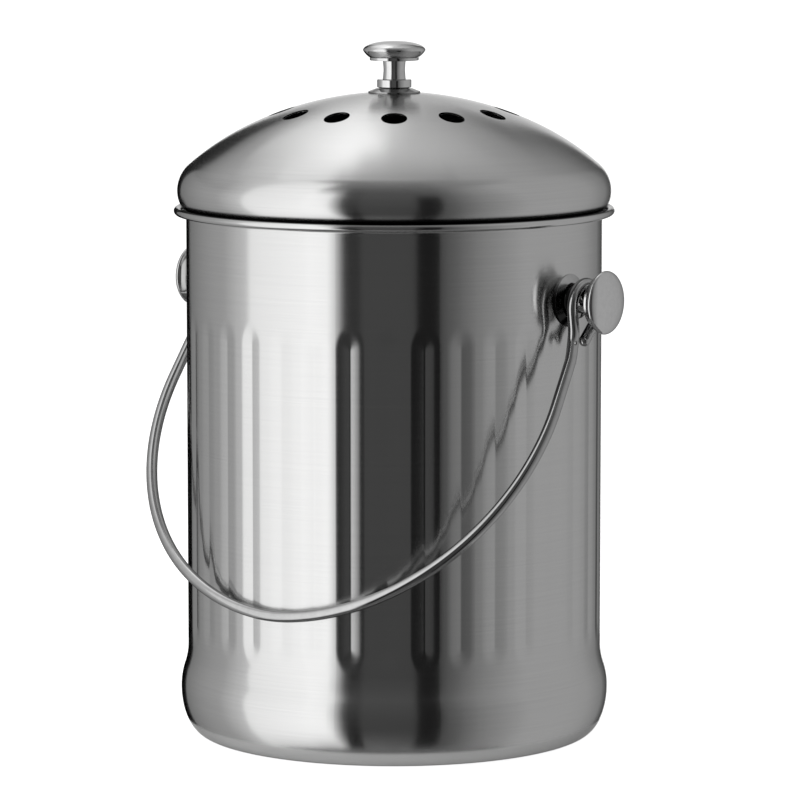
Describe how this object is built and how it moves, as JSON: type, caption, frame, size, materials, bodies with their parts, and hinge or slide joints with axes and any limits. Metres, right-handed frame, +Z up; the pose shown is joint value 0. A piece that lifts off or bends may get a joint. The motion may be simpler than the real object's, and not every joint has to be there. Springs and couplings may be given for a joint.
{
  "type": "countertop compost pail",
  "caption": "Stainless steel countertop compost pail with a fluted wall, a lift-off domed lid with air vents and a charcoal filter, and a hooked wire bail on side posts.",
  "frame": {"origin": "centre of the flat base", "axes": "+Z up; X runs through the two side posts; -Y is the front, where the bail rests"},
  "size_m": [0.2156, 0.1836, 0.2899],
  "materials": {
    "pail_steel": "finely brushed, semi-bright",
    "lid_steel": "fine circular brushing",
    "polished_steel": "polished",
    "bail_steel": "polished drawn wire",
    "fastener_steel": "plain, as turned",
    "seal_rubber": "matt black",
    "tray_plastic": "lightly textured black",
    "charcoal_felt": "charcoal felt"
  },
  "bodies": {
    "pail": {"pail_shell": "pail_steel", "left_knob": "polished_steel", "right_knob": "polished_steel", "left_cone_washer": "polished_steel", "right_cone_washer": "polished_steel", "left_seal_washer": "seal_rubber", "right_seal_washer": "seal_rubber", "left_flat_washer": "fastener_steel", "right_flat_washer": "fastener_steel", "left_screw": "fastener_steel", "right_screw": "fastener_steel"},
    "bail": {"bail_handle": "bail_steel"},
    "lid": {"lid_shell": "lid_steel", "lid_plug_ring": "lid_steel", "lid_knob": "polished_steel", "lid_cone_washer": "polished_steel", "lid_flat_washer": "fastener_steel", "lid_screw": "fastener_steel"},
    "filter": {"filter_tray": "tray_plastic", "charcoal_filter": "charcoal_felt"}
  },
  "joints": [
    {"name": "bail_swing", "type": "hinge", "parent": "pail", "child": "bail", "pos_m": [0, 0, 0.1843], "axis": [-1, 0, 0], "range_deg": [0, 288]},
    {"name": "lid_lift", "type": "slide", "parent": "pail", "child": "lid", "axis": [0, 0, 1], "range_m": [0, 0.12]},
    {"name": "filter_pull", "type": "slide", "parent": "lid", "child": "filter", "axis": [0, 0, -1], "range_m": [0, 0.013]}
  ]
}
